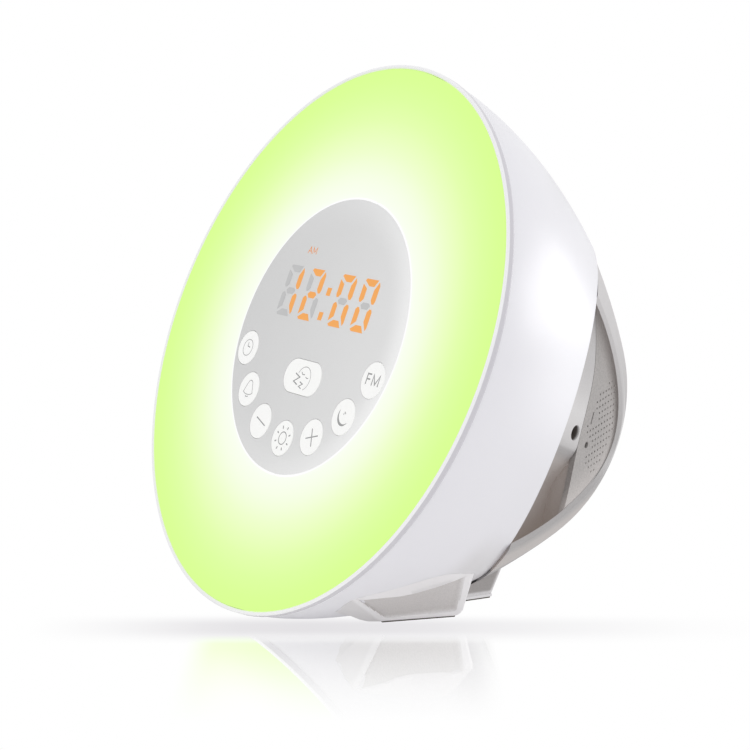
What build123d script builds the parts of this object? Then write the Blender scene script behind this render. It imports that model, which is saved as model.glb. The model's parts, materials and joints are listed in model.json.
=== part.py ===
from build123d import *
import os
from math import sin, cos, tan, radians, degrees, hypot, sqrt, pi, atan2

# Bowl-shaped sunrise alarm clock.  Row frame: +Z up, face looks along -Y
# (leaning back), origin on the floor under the middle of the bounding box.
# Most pieces are laid out in face coordinates: u to the right, v up the
# leaning face, s straight back from the face plane.  Millimetres.

# ------------------------------------------------------------------ driving
LEAN = 22.4            # degrees the face leans back
ZC = 80.4              # height of the face centre above the floor
YC = -34.556           # y of the face centre
R_DIFF = 84.0          # glowing diffuser radius
R_BEZEL = 85.3         # widest radius of the front ring
R_PANEL = 42.9         # control panel radius
WALL = 2.5             # shell wall
KEY_R = 5.46           # round key radius
KEY_ARC = 38.15        # keys sit on an arc of this radius
KEY_ARC_V = 5.9        # centre of that arc above the face centre
KEY_GAP = 0.15
KEY_TOP = 0.02         # key tops, just proud of the panel
KEY_TRAVEL = 0.6
PAD_T = 1.2            # rubber pad thickness
DISH = 1.6             # the panel sits this far behind the front ring
UNDER = 78.9           # flat underside this far below the face centre
REAR_V = -1.15         # rear dome axis sits this much below the face axis
SEAM = 79.0            # white shell ends at s + 0.5*|u| = SEAM
SIDE_A, SIDE_K = 0.407, 79.63     # side rim plane   u + A*s = K
CORE_A, CORE_K = 0.395, 77.85     # side wall plane  u + A*s = K
LIP = 1.0              # thickness of the rim round the side recess
# front edge of the insert as (v, s) points
INSERT_EDGE = [(60.0, 38.0), (45.0, 45.5), (33.0, 52.8), (28.0, 56.2), (22.5, 60.0), (15.0, 63.9), (2.0, 66.8),
               (-8.0, 68.4), (-19.0, 71.0), (-27.0, 72.4), (-60.0, 77.0)]
JACK_V, JACK_S = -3.4, 64.5
JACK_R = 2.35

os.makedirs("parts", exist_ok=True)
T = radians(LEAN)
FACE = Plane(origin=(0, YC, ZC), x_dir=(1, 0, 0), z_dir=(0, -cos(T), sin(T)))
MID = Plane(origin=(0, YC + DISH * cos(T), ZC - DISH * sin(T)), x_dir=(1, 0, 0), z_dir=(0, -cos(T), sin(T)))
C3 = (Align.CENTER, Align.CENTER, Align.CENTER)


def shell_r(s):
    x = max(0.0, (s - 2.181) / 122.61)
    return 84.777 * (1 - x ** 1.598) ** (1 / 1.304)


def rear_r(s):
    x = (s - 45) / 42.0
    return 73.5 - 28.3 * x + 4.32 * x * (1 - x)


def cyl(r, s0, s1, u=0.0, v=0.0):
    return Pos(u, v, -(s0 + s1) / 2) * Cylinder(r, abs(s1 - s0))


def ring(ro, ri, s0, s1, u=0.0, v=0.0):
    return cyl(ro, s0, s1, u, v) - cyl(ri, s0 - 1, s1 + 1, u, v)


def block(u, v, s0, s1, w, h):
    return Pos(u, v, -(s0 + s1) / 2) * Box(w, h, abs(s1 - s0))


def rev_poly(pts):
    f = make_face(Polyline(*[(r, 0, -s) for r, s in pts], close=True))
    return revolve(f, Axis.Z)


def rev_solid(fn, off, s0, s1, n=12):
    pts = [(fn(s0 + (s1 - s0) * i / n) + off, 0, -(s0 + (s1 - s0) * i / n)) for i in range(n + 1)]
    curve = Spline(*pts)
    rest = Polyline(pts[-1], (0, 0, -s1), (0, 0, -s0), pts[0])
    return revolve(make_face(curve + rest), Axis.Z)


def half(n, k, size=420.0):
    """everything with n.(u,v,s) >= k"""
    nx, ny, nz = n[0], n[1], -n[2]
    L = sqrt(nx * nx + ny * ny + nz * nz)
    nx, ny, nz = nx / L, ny / L, nz / L
    d = k / L
    pl = Plane(origin=(nx * d, ny * d, nz * d), z_dir=(nx, ny, nz))
    return pl.location * Box(size, size, size, align=(Align.CENTER, Align.CENTER, Align.MIN))


def low(k):
    """everything more than k below the face centre, measured plumb"""
    return half((0, -cos(T), sin(T)), k)


def flip(shape):
    return mirror(shape, about=Plane.YZ)


def polar(r, deg):
    return r * cos(radians(deg)), r * sin(radians(deg))


OUT = []


def save(shape, name, local=True, plane=FACE):
    if local:
        shape = plane.location * shape
    if isinstance(shape, (list, tuple)):
        shape = Compound(children=list(shape))
    OUT.append((name, shape))
    export_step(shape, "parts/%s.step" % name)


def many(shapes, plane=FACE):
    return Compound(children=[plane.location * s for s in shapes])


# ================================================================ front ring
bezel = rev_poly([(84.08, 0.35), (84.45, 0.0), (85.0, 0.0), (R_BEZEL, 0.35), (R_BEZEL, 1.9),
                  (84.98, 2.5), (81.5, 2.5), (81.5, 7.0), (80.0, 7.0), (80.0, 2.45), (84.08, 2.45)])
save(bezel, "front_bezel_ring")

# slightly dished
diffuser = rev_poly([(43.55, 0.2 + DISH), (83.93, 0.2), (83.93, 2.4), (79.0, 2.4), (43.55, 2.4 + DISH)])
save(diffuser, "front_diffuser")

light_ring = ring(43.45, 42.98, 0.12, 2.4)
save(light_ring, "panel_light_ring", plane=MID)

# ================================================================ keys
KEYS = [("key_alarm_set", -157.5), ("key_bell", -135), ("key_minus", -112.5), ("key_light", -90),
        ("key_plus", -67.5), ("key_sleep", -45), ("key_radio", -22.5)]
KEY_POS = {}
for nm, a in KEYS:
    x, y = polar(KEY_ARC, a)
    KEY_POS[nm] = (x, y + KEY_ARC_V)
KEY_POS["key_snooze"] = (-0.2, -13.2)


def barrel(w, h, bow, s0, s1):
    """key outline with flat top and bottom and bowed ends"""
    hw, hh = w / 2, h / 2
    fl = hw - bow
    e = (Line((-fl, hh), (fl, hh)) + ThreePointArc((fl, hh), (hw, 0), (fl, -hh))
         + Line((fl, -hh), (-fl, -hh)) + ThreePointArc((-fl, -hh), (-hw, 0), (-fl, hh)))
    return Pos(0, 0, -s1) * extrude(make_face(e), amount=s1 - s0)


SN_W, SN_H, SN_BOW = 20.0, 10.5, 4.9
PANEL_F, PANEL_B = 0.1, 2.6
panel = cyl(R_PANEL, PANEL_F, PANEL_B)
caps = {}
for nm, (ku, kv) in KEY_POS.items():
    if nm == "key_snooze":
        panel -= Pos(ku, kv, 0) * barrel(SN_W + 2 * KEY_GAP, SN_H + 2 * KEY_GAP, SN_BOW, -1, 4)
        cap = Pos(ku, kv, 0) * barrel(SN_W, SN_H, SN_BOW, KEY_TOP, 2.95)
        top = cap.faces().sort_by(Axis.Z)[-1]
        cap = fillet(top.edges(), 0.15)
        cap += Pos(ku, kv, 0) * barrel(SN_W + 1.6, SN_H + 1.6, SN_BOW, 2.9, 3.7)
        cap += cyl(1.6, 3.6, 6.0, ku, kv)
    else:
        panel -= cyl(KEY_R + KEY_GAP, -1, 4, ku, kv)
        cap = cyl(KEY_R, KEY_TOP, 2.95, ku, kv)
        top = cap.faces().sort_by(Axis.Z)[-1]
        cap = fillet(top.edges(), 0.15)
        cap += cyl(KEY_R + 0.8, 2.9, 3.7, ku, kv)
        cap += cyl(1.3, 3.6, 6.0, ku, kv)
    caps[nm] = cap
save(panel, "control_panel", plane=MID)
for nm, cap in caps.items():
    save(cap, nm, plane=MID)

# ================================================================ digits
# seven-segment figures as thin light windows on the panel's front; the
# corner cuts are shallow on the left and steep on the right
DIG_U = [-22.2, -9.9, 7.2, 19.45]
DIG_V = 11.7
SEG_F, SEG_B = 0.03, 0.1      # proud of the panel face by 0.07
SEGS = {
    "a": [(-3.65, 7.5), (-3.2, 7.95), (2.55, 7.95), (1.25, 6.05), (-1.3, 6.05)],
    "b": [(3.5, 7.3), (4.1, 6.35), (4.1, 1.9), (3.65, 0.9), (2.8, 0.9), (1.98, 1.95), (2.05, 4.95)],
    "c": [(2.95, -0.85), (3.75, -1.05), (4.1, -1.65), (4.1, -6.35), (3.7, -7.0), (1.98, -4.7), (1.98, -1.75)],
    "f": [(-4.15, 6.15), (-2.1, 5.0), (-2.1, 1.95), (-3.1, 1.0), (-3.7, 1.0), (-4.15, 1.75)],
    "e": [(-4.15, -1.45), (-3.5, -0.85), (-2.9, -0.85), (-2.1, -1.75), (-2.1, -4.9), (-4.15, -6.25)],
    "d": [(-3.65, -7.45), (-1.4, -6.15), (1.3, -6.15), (2.7, -7.95), (-3.1, -7.95)],
    "g": [(-2.25, 0.0), (-1.35, 0.78), (1.4, 0.78), (2.15, 0.1), (1.3, -0.95), (-1.4, -0.95)],
}


SEG_GROW = 0.12               # the windows are this much larger all round than the figures' outlines


def seg_poly(pts):
    f = offset(make_face(Polyline(*pts, close=True)), SEG_GROW, kind=Kind.INTERSECTION)
    return Pos(0, 0, -SEG_B) * extrude(f, amount=SEG_B - SEG_F)


LIT = [set("bc"), set("abdeg"), set("abcdef"), set("abcdef")]
lit, dark = [], []
for i, u0 in enumerate(DIG_U):
    for k, pts in SEGS.items():
        (lit if k in LIT[i] else dark).append(seg_poly([(u0 + x, DIG_V + y) for x, y in pts]))
for cu, cv in ((-1.4, 13.6), (-1.65, 5.9)):
    lit.append(seg_poly([(cu - 0.98, cv + 1.12), (cu + 0.98, cv + 1.12), (cu + 0.9, cv - 1.12), (cu - 0.98, cv - 1.12)]))
save(many(lit, MID), "digit_windows_lit", local=False)
save(many(dark, MID), "digit_windows_dark", local=False)

# ================================================================ boards behind the face
frame = ring(45.5, 42.98, 2.62, 15.0)
frame += ring(45.5, 36.5, 10.65, 12.2)

SCREW_RING = [polar(38.6, a) for a in (65, 115, 200, 340)]
kb = cyl(40.5, 9.05, 10.65) - cyl(3, 8, 12, 0, 30)
for x, y in SCREW_RING:
    kb -= cyl(1.3, 8, 12, x, y)
    frame -= cyl(1.3, 8, 14, x, y)
save(frame, "panel_frame", plane=MID)
save(kb, "key_board", plane=MID)
sw = []
for nm, (ku, kv) in KEY_POS.items():
    sw.append(block(ku, kv, 7.2, 9.05, 6.0, 6.0) + cyl(1.7, 6.65, 7.3, ku, kv))
save(many(sw, MID), "tact_switches", local=False)
save(block(-1.4, DIG_V, 2.75, 9.05, 54, 20), "display_module", plane=MID)

refl = rev_poly([(36.0, 15.0 + DISH), (60.0, 15.0 + DISH), (79.8, 7.4), (81.0, 7.4), (81.0, 8.4), (60.6, 16.6 + DISH),
                 (36.0, 16.6 + DISH)])
for x, y in SCREW_RING:
    refl -= cyl(1.3, 10, 22, x, y)
refl -= low(UNDER - WALL - 0.15) & half((0, 0, 1), 8.35)      # clear of the shell's floor
save(refl, "reflector_dish")
save(ring(58.0, 47.0, 13.4, 15.0), "led_ring_board", plane=MID)
leds = []
for i in range(24):
    x, y = polar(52.5, i * 15)
    leds.append(Pos(x, y, -12.95) * Rot(0, 0, i * 15) * Box(2.8, 3.5, 0.9))
save(many(leds, MID), "ring_leds", local=False)
save(many([cyl(1.15, 8.2, 16.6, x, y) + cyl(2.2, 16.6, 18.0, x, y) for x, y in SCREW_RING], MID),
     "face_screws", local=False)

# ================================================================ white shell
dome = rev_solid(shell_r, 0.0, 2.62, 80.0, 14) - low(UNDER)
white = dome - (rev_solid(shell_r, -WALL, 2.0, 81.0, 14) - (low(UNDER - WALL) & half((0, 0, 1), 8.5)))


def seam_tool(grow):
    """prism along v holding everything in front of the seam line; the line runs
    s = SEAM - |u|/2 and is rounded over the top by an arc"""
    k, R = SEAM + grow, 60.0
    n = sqrt(1.25)
    sc = k - n * R
    ut, st = R * 0.5 / n, sc + R / n
    far = 170.0
    line = (Line((-far, 0, -(k - far / 2)), (-ut, 0, -st)) + ThreePointArc((-ut, 0, -st), (0, 0, -(sc + R)), (ut, 0, -st))
            + Polyline((ut, 0, -st), (far, 0, -(k - far / 2)), (far, 0, 60), (-far, 0, 60), (-far, 0, -(k - far / 2))))
    return extrude(make_face(line), amount=150, both=True)


white = white & seam_tool(0.0)
BOSS = []
for a, rb_ in ((50, 67.4), (130, 67.4), (250, 65.2), (290, 65.2)):
    x, y = polar(rb_, a)
    BOSS.append((x, y, a, rb_))
    b = cyl(3.3, 20.0, 33.8, x, y)
    rib = Pos(0, 0, -28.0) * Rot(0, 0, a) * Pos((rb_ + 81.5) / 2, 0, 0) * Box(76.5 - rb_, 2.4, 11.5)
    rib = (rib & rev_solid(shell_r, -1.0, 18.0, 40.0, 6)) - low(UNDER - 1.0)
    white += b + rib
for x, y, a, rb_ in BOSS:
    white -= cyl(1.15, 22.0, 40.0, x, y)

# ================================================================ rear housing
# profile of the rear dome, rounded off to a flat back
rp = [(rear_r(s), 0, -s) for s in (40, 46, 52, 58, 64, 70, 76, 82, 87)]
rp += [(41.3, 0, -91.6), (37.2, 0, -94.8), (32.6, 0, -96.6), (28.0, 0, -97.0)]
rear_curve = Spline(*rp, tangents=[(-0.64, 0, -1), (-1, 0, 0)])
rear_face = make_face(rear_curve + Polyline(rp[-1], (0, 0, -97.0), (0, 0, -40), rp[0]))
rear_dome = Pos(0, REAR_V, 0) * revolve(rear_face, Axis.Z)


def rear_off(off, s0, s1):
    return Pos(0, REAR_V, 0) * rev_solid(rear_r, off, s0, s1, 10)


H = (rear_dome - seam_tool(0.15)) - low(UNDER)
H += rev_solid(shell_r, -WALL - 0.3, 34.0, 82.0, 12) - low(UNDER - WALL - 0.3)
behind = block(0, 0, 36.6, 140, 400, 400)
side_cut = half((1, -0.05, SIDE_A), SIDE_K) & behind
H -= side_cut
H -= flip(side_cut)
recess = (rear_off(-LIP, 36.6, 97.0) & half((1, 0, CORE_A), CORE_K))
H -= recess
H -= flip(recess)


def behind_edge(off):
    """everything behind the curved front edge of the insert, moved back by off"""
    curve = Spline(*[(0, v, -(s + off)) for v, s in INSERT_EDGE])
    (va, sa), (vb, sb) = INSERT_EDGE[0], INSERT_EDGE[-1]
    rest = Polyline((0, vb, -(sb + off)), (0, vb, -160.0), (0, va, -160.0), (0, va, -(sa + off)))
    return extrude(make_face(curve + rest), amount=120.0, both=True)


pocket = (rear_off(-LIP - 0.3, 50.0, 97.0) & half((1, 0, CORE_A), CORE_K - 2.35)) & behind_edge(0.0)
H -= pocket
H -= flip(pocket)
# finger scoop below the jack
ang = degrees(atan2(CORE_A, 1.0))
nl = sqrt(1 + CORE_A ** 2)
n_core = (1 / nl, 0.0, CORE_A / nl)


def on_core(v, s, out=0.0):
    """point on the side wall plane, moved outwards by out"""
    return ((CORE_K - CORE_A * s) + n_core[0] * out, v, -(s + n_core[2] * out))


def core_plane(v, s, out=0.0):
    o = on_core(v, s, out)
    return Plane(origin=o, x_dir=(0, 1, 0), z_dir=(n_core[0], 0, -n_core[2]))


def scoop_tool(grow):
    """everything outside the scooped wall: the wall bends inwards below the
    jack in one smooth sweep, drawn across the wall and run along it"""
    o = on_core(0.0, 58.0, -grow)
    pl = Plane(origin=o, x_dir=(0, 1, 0), z_dir=(-CORE_A / nl, 0, -1 / nl))
    side = -1.0 if pl.y_dir.X > 0 else 1.0        # inwards is side * y
    x0, r1, r2, deep, t = -6.0, 7.0, 14.0, 9.0, radians(38.0)
    k = 1 - cos(t)
    p1 = (x0 - r1 * sin(t), r1 * k)
    p2 = (p1[0] - (deep - (r1 + r2) * k) / tan(t), deep - r2 * k)
    xe = p2[0] - r2 * sin(t)
    m1 = (x0 - r1 * sin(t / 2), r1 * (1 - cos(t / 2)))
    m2 = (xe + r2 * sin(t / 2), deep - r2 * (1 - cos(t / 2)))
    q = [(x, side * y, 0) for x, y in ((x0, 0.0), m1, p1, p2, m2, (xe, deep), (-64.0, deep), (-64.0, -40.0), (x0, -40.0))]
    e = (ThreePointArc(q[0], q[1], q[2]) + Line(q[2], q[3]) + ThreePointArc(q[3], q[4], q[5])
         + Polyline(q[5], q[6], q[7], q[8], q[0]))
    return pl.location * extrude(make_face(e), amount=50.0, both=True)


# the scoop runs on a little way under the insert's front edge
scoop = (scoop_tool(0.0) & rear_off(-LIP - 0.2, 36.6, 90.0)) - half((0, 0.232, 1), 67.75)
H -= scoop
H -= flip(scoop)
# inner cavity
cav = rev_solid(shell_r, -WALL - 0.3 - 2.2, 33.0, 74.0, 10)
cav += rear_off(-2.7, 60.0, 90.0) + cyl(32.0, 89.0, 94.5)
cav -= low(UNDER - WALL - 2.5)
cav -= half((1, 0, CORE_A), CORE_K - 4.6)
cav -= half((-1, 0, CORE_A), CORE_K - 4.6)
big_scoop = scoop_tool(2.3) - half((0, 0.232, 1), 69.75)
cav -= big_scoop
cav -= flip(big_scoop)
H -= cav
# jack hole
H -= core_plane(JACK_V, JACK_S, -4.0).location * Cylinder(JACK_R, 12.0)
# speaker opening
SPK_V, SPK_S, SPK_R = 6.0, 78.4, 10.9
H -= core_plane(SPK_V, SPK_S, -4.2).location * Cylinder(SPK_R - 2.0, 5.0)
# reset hole
RST_V, RST_S = -5.4, 73.0
H -= core_plane(RST_V, RST_S, -4.0).location * Cylinder(1.25, 10.0)
# flange screw tabs
for x, y, a, rb_ in BOSS:
    tab = Pos(0, 0, -35.3) * Rot(0, 0, a) * Pos(rb_ + 2.5, 0, 0) * Box(11.0, 8.0, 2.6)
    H += (tab & rev_solid(shell_r, -3.4, 33.0, 38.0, 3)) - low(UNDER - 3.5)
    H -= cyl(1.4, 30.0, 40.0, x, y)
# battery opening in the back
BAT_V = -4.0
H -= cyl(13.2, 94.0, 100.0, 0, BAT_V)
# posts for the main board
BOARD_S0, BOARD_S1 = 52.0, 53.6
POSTS = [(30.0, 24.0), (-30.0, 24.0), (30.0, -24.0), (-30.0, -24.0)]
inside = rear_off(-1.0, 50.0, 92.0)
for x, y in POSTS:
    H += cyl(2.7, BOARD_S1, 93.0, x, y) & inside
    H -= cyl(1.1, 50.0, 66.0, x, y)

# inserts
def insert_blank():
    b = (rear_off(-LIP - 0.4, 50.0, 97.0) & half((1, 0, CORE_A), CORE_K - 2.25)) & behind_edge(0.2)
    return b - half((1, 0, CORE_A), CORE_K)


ins_r = insert_blank()
save(flip(ins_r), "side_panel_left")
perf = []
row = radians(31.0)
PR, PC = 1.62, 2.02
for i in range(-14, 15):
    for j in range(-12, 13):
        a_ = i * PR * cos(row) - j * PC * sin(row)     # along the back direction
        b_ = i * PR * sin(row) + j * PC * cos(row)     # along v
        if hypot(a_, b_) > 17.3:
            continue
        s_ = 86.1 + a_ / nl
        v_ = 3.1 + b_
        # stay inside the insert with a margin
        u_ = CORE_K - CORE_A * s_
        if s_ > 93 or hypot(u_, v_ - REAR_V) > rear_r(s_) - 2.4:
            continue
        if hypot(s_ - RST_S, v_ - RST_V) < 2.6 or hypot(s_ - 71.4, v_ - 2.7) < 2.9:
            continue
        perf.append(core_plane(v_, s_).location * Cylinder(0.34, 8.0))
print("perforations", len(perf))
ins_r -= perf
ins_r -= core_plane(RST_V, RST_S).location * Cylinder(1.05, 8.0)
ins_r -= core_plane(2.7, 71.4).location * (Rot(0, 0, 8.5) * Box(3.8, 0.65, 1.0))
save(ins_r, "side_panel_right")

# ================================================================ feet
def W(x, y, z):
    """face-centred world point to row point"""
    return (x, y + YC, z + ZC)


Z_PAD = -ZC + PAD_T          # underside of a foot, face centred
REAR_SOLID = FACE.location * (Pos(0, REAR_V, 0) * rev_solid(rear_r, 0.0, 40.0, 92.0, 12))
FRONT_BOX = FACE.location * half((0, 0, 1), 8.0)
WHITE_SOLID = FACE.location * rev_solid(shell_r, 0.02, 2.62, 80.0, 14)
Z_TOP = -60.0


def foot(pairs, corner):
    bot = make_face(Polyline(*[W(x, y, Z_PAD) for (x, y), _ in pairs], close=True))
    top = make_face(Polyline(*[W(x, y, Z_TOP) for _, (x, y) in pairs], close=True))
    f = loft([bot, top], ruled=True)
    cx, cy, cz = W(pairs[corner][0][0], pairs[corner][0][1], Z_PAD)
    es = [e for e in f.edges() if any(hypot(v.X - cx, v.Y - cy) < 0.01 and abs(v.Z - cz) < 0.01 for v in e.vertices())
          and abs((e @ 1).Z - (e @ 0).Z) > 5]
    f = fillet(es, 3.0)
    return f


front_pairs = [((36.5, 1.5), (57.7, -24.5)), ((44.6, 24.6), (52.7, 24.7)), ((30.5, 28.5), (32.0, 29.5)),
               ((23.0, 4.0), (23.0, -6.0)), ((30.5, -4.0), (56.7, -44.2))]
fr = foot(front_pairs, 1)
fr = (fr & FRONT_BOX) - WHITE_SOLID
# the foot ends under a slanted plane that cuts the bowl's side in a long arc
ARC_PLANE = Plane(origin=(47.97, -51.73, 13.0), z_dir=(-0.4723, -0.0259, 0.8811))
fr -= ARC_PLANE.location * Box(300, 300, 100, align=(Align.CENTER, Align.CENTER, Align.MIN))
rear_pairs = [((31.0, 32.0), (36.5, 29.0)), ((32.5, 44.6), (36.0, 50.9)), ((21.0, 45.0), (20.5, 51.5)),
              ((20.5, 32.0), (20.0, 29.0))]
rr_ = foot(rear_pairs, 1)
WHITE_GROWN = FACE.location * rev_solid(shell_r, 0.3, 2.62, 80.0, 14)
rr_ = (rr_ - WHITE_GROWN) - REAR_SOLID


def main_solid(sh):
    return sh.solids().sort_by(SortBy.VOLUME)[-1]


fr, rr_ = main_solid(fr), main_solid(rr_)
FS = W(37.0, 14.0, 0)        # foot screw positions
RS = W(29.0, 41.0, 0)


def vcyl(r, x, y, z0, z1):
    return Pos(x, y, (z0 + z1) / 2) * Cylinder(r, z1 - z0)


fr -= vcyl(1.5, FS[0], FS[1], 0, 30) + vcyl(2.9, FS[0], FS[1], 0, 3.6)
rr_ -= vcyl(1.5, RS[0], RS[1], 0, 30) + vcyl(2.6, RS[0], RS[1], 0, 3.0)


def pad(pairs, inset):
    face = make_face(Polyline(*[W(x, y, -ZC) for (x, y), _ in pairs], close=True))
    face = offset(face, -inset, kind=Kind.ARC)
    return extrude(face, amount=PAD_T, dir=(0, 0, 1))


pf = pad([front_pairs[i] for i in (0, 1, 2, 3)], 0.5)
pr = pad(rear_pairs, 0.5)
white_w = FACE.location * white
H_w = FACE.location * H
for sx in (1, -1):
    white_w -= vcyl(1.15, sx * FS[0], FS[1], 0, 30)
    H_w -= vcyl(1.15, sx * FS[0], FS[1], 0, 30)
    white_w -= vcyl(1.6, sx * RS[0], RS[1], 0, 22)
    H_w -= vcyl(1.15, sx * RS[0], RS[1], 0, 22)
save(white_w, "white_shell", local=False)
save(H_w, "rear_housing", local=False)
save(fr, "front_foot_right", local=False)
save(flip(fr), "front_foot_left", local=False)
save(rr_, "rear_foot_right", local=False)
save(flip(rr_), "rear_foot_left", local=False)
save(Compound(children=[pf, flip(pf)]), "front_foot_pads", local=False)
save(Compound(children=[pr, flip(pr)]), "rear_foot_pads", local=False)
fsc = []
for sx in (1, -1):
    fsc.append(vcyl(1.1, sx * FS[0], FS[1], 3.5, 14.0) + vcyl(2.6, sx * FS[0], FS[1], 2.1, 3.57))
    fsc.append(vcyl(1.1, sx * RS[0], RS[1], 2.9, 11.0) + vcyl(2.3, sx * RS[0], RS[1], 1.8, 2.97))
save(Compound(children=fsc), "foot_screws", local=False)
save(many([cyl(1.1, 23.0, 36.7, x, y) + cyl(2.4, 36.6, 38.4, x, y) for x, y, a, rb_ in BOSS]),
     "housing_screws", local=False)

# ================================================================ main board
mb = block(0, 0, BOARD_S0, BOARD_S1, 72, 58)
for x, y in POSTS:
    mb -= cyl(1.4, 50, 56, x, y)
save(mb, "main_board")
bc = [block(-8, 6, 50.6, BOARD_S0, 14, 14), block(14, -10, 50.8, BOARD_S0, 8, 5), cyl(4.0, 42.0, BOARD_S0, -24, -8),
      cyl(3.15, 44.5, BOARD_S0, -24, 3), block(20, 16, 47.0, BOARD_S0, 10, 6), block(0, -22, 47.0, BOARD_S0, 18, 6),
      cyl(2.0, 48.6, BOARD_S0, 8, 18), block(-22, 16, 48.5, BOARD_S0, 8, 9)]
save(many(bc), "board_components", local=False)
save(many([cyl(1.0, 50.0, 62.0, x, y) + cyl(2.4, 50.2, BOARD_S0, x, y) for x, y in POSTS]),
     "board_screws", local=False)

# ================================================================ speaker, jack, reset
def at_wall(v, s, shape):
    """shape drawn with z=0 on the side wall and -z into the body"""
    return core_plane(v, s).location * shape


def wcyl(r, d0, d1):
    return Pos(0, 0, -(d0 + d1) / 2) * Cylinder(r, d1 - d0)


def wring(ro, ri, d0, d1):
    return wcyl(ro, d0, d1) - wcyl(ri, d0 - 1, d1 + 1)


GD = 4.32
save(at_wall(SPK_V, SPK_S, wring(10.9, 8.9, GD, GD + 0.5)), "speaker_gasket")
sf = wring(10.9, 8.9, GD + 0.5, GD + 1.5) + wring(9.8, 8.9, GD + 1.5, 10.6) + wring(9.8, 4.0, 10.6, 11.6)
save(at_wall(SPK_V, SPK_S, sf), "speaker_frame")
save(at_wall(SPK_V, SPK_S, wcyl(7.6, 11.6, 15.8)), "speaker_magnet")
cone = Pos(0, 0, -7.0) * Cone(3.4, 8.5, 2.8, align=C3)
cone = cone - Pos(0, 0, -6.2) * Cone(2.4, 8.5, 2.8, align=C3)
cone += wring(3.7, 3.1, 7.6, 10.2) + wcyl(3.2, 7.7, 8.4)
save(at_wall(SPK_V, SPK_S, cone), "speaker_cone")

jack = Pos(0, 0, -(GD + 15.5) / 2) * Box(9.0, 8.0, 15.5 - GD)
jack -= wcyl(1.85, GD - 1, 13.0)
jack -= wcyl(0.65, 12, 14.6)
save(at_wall(JACK_V, JACK_S, jack), "dc_jack")
save(at_wall(JACK_V, JACK_S, wcyl(0.65, 6.0, 14.6)), "jack_centre_pin")

rb = wcyl(0.95, 0.6, 8.2) + wcyl(1.6, 4.9, 5.9)
save(at_wall(RST_V, RST_S, rb), "reset_button")
save(at_wall(RST_V, RST_S, Pos(0, 0, -11.0) * Box(3.4, 3.4, 2.6) + wcyl(0.8, 9.3, 9.8)), "reset_switch")

# ================================================================ battery
door = cyl(12.9, 95.2, 97.0, 0, BAT_V) - block(0, BAT_V, 96.2, 98.0, 14, 1.8)
save(door, "battery_door")
bh = cyl(12.9, 88.0, 94.3, 0, BAT_V) + cyl(16.0, 93.3, 94.45, 0, BAT_V)
bh -= cyl(10.3, 89.2, 95.0, 0, BAT_V)
save(bh, "battery_holder")
save(cyl(4.0, 89.2, 89.5, 0, BAT_V), "battery_contact")
save(cyl(10.0, 89.5, 92.7, 0, BAT_V), "coin_cell")

bb = Compound(children=[sh for _, sh in OUT]).bounding_box()
print("nodes", len(OUT), "box", [round(v, 3) for v in (bb.min.X, bb.max.X, bb.min.Y, bb.max.Y, bb.min.Z, bb.max.Z)])
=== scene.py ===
import json
import math

import bpy
import bmesh
from mathutils import Matrix, Vector


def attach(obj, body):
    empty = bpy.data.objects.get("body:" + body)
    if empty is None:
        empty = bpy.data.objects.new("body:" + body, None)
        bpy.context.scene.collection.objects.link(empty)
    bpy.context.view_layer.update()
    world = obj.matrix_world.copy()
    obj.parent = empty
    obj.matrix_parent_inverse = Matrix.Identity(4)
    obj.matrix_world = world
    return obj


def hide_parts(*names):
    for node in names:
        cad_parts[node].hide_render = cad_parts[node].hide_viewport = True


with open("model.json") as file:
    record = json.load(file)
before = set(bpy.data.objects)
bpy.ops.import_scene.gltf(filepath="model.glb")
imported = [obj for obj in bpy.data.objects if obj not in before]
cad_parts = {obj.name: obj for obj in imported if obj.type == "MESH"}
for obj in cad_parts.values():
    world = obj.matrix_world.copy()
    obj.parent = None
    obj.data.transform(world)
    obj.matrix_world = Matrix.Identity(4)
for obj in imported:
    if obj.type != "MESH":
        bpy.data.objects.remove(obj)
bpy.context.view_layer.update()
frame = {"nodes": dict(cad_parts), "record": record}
NODES = frame["nodes"]

# ---------------------------------------------------------------- face frame
LEAN = math.radians(22.4)
YC, ZC = -0.034556, 0.0804
S, C = math.sin(LEAN), math.cos(LEAN)
ORIGIN = Vector((0.0, YC, ZC))
U = Vector((1.0, 0.0, 0.0))
V = Vector((0.0, S, C))
N = Vector((0.0, C, -S))          # straight back from the face
DISH = 1.6                        # the panel group lies this far behind the front ring, mm


def at(u, v, s):
    """face coordinates in millimetres to the row frame in metres"""
    return ORIGIN + (U * u + V * v + N * s) * 0.001


# ---------------------------------------------------------------- camera
def make_camera():
    phi, el = math.radians(56.46), math.radians(9.941)
    c = Vector((math.sin(phi) * math.cos(el), -math.cos(phi) * math.cos(el), math.sin(el)))
    r = Vector((math.cos(phi), math.sin(phi), 0.0))
    up = c.cross(r)
    pos = ORIGIN + c * 0.595141 + r * 0.018607 - up * 0.012258
    m = Matrix((r, up, c)).transposed().to_4x4()
    m.translation = pos
    cam = bpy.data.cameras.new("view")
    cam.sensor_fit = "HORIZONTAL"
    cam.sensor_width = 36.0
    cam.lens = 2000.2 / 750.0 * 36.0
    cam.clip_start, cam.clip_end = 0.01, 50.0
    ob = bpy.data.objects.new("view", cam)
    ob.matrix_world = m
    bpy.context.scene.collection.objects.link(ob)
    bpy.context.scene.camera = ob
    return ob


CAM = make_camera()


# ---------------------------------------------------------------- material kit
def srgb(r, g, b):
    def f(x):
        x /= 255.0
        return x / 12.92 if x <= 0.04045 else ((x + 0.055) / 1.055) ** 2.4
    return (f(r), f(g), f(b))


def new_mat(name):
    m = bpy.data.materials.new(name)
    m.use_nodes = True
    nt = m.node_tree
    for n in list(nt.nodes):
        nt.nodes.remove(n)
    out = nt.nodes.new("ShaderNodeOutputMaterial")
    b = nt.nodes.new("ShaderNodeBsdfPrincipled")
    nt.links.new(b.outputs[0], out.inputs[0])
    return m, nt, b


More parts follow.
